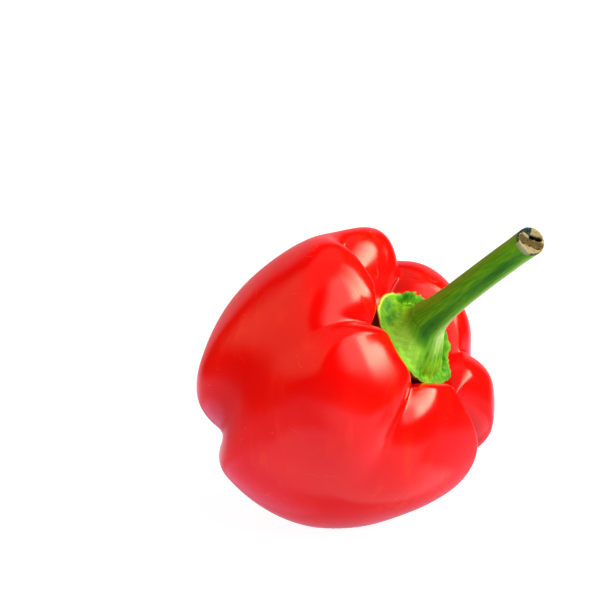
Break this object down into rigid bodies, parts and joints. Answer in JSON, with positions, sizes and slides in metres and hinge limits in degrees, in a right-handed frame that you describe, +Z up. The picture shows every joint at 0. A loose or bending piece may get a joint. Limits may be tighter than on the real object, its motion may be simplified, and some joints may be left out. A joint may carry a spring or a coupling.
{
  "type": "bell pepper",
  "caption": "Squat lobed bell pepper fruit lying on its side, with a wavy calyx and a cut stem.",
  "frame": {"origin": "middle of the bounding box in plan, on the surface that the pepper lies on", "axes": "+Z up, out of the flat spot that it rests on; +X to the side that the stem points to and -Y to the side that shows the stem hollow"},
  "size_m": [0.0902, 0.0836, 0.0864],
  "materials": {
    "skin": "glossy, waxy, saturated red skin",
    "calyx": "satin, fibrous, light yellow-green",
    "stem": "satin, finely ribbed, green"
  },
  "bodies": {
    "root": {"fruit": "skin", "calyx": "calyx", "stem": "stem"}
  },
  "joints": []
}
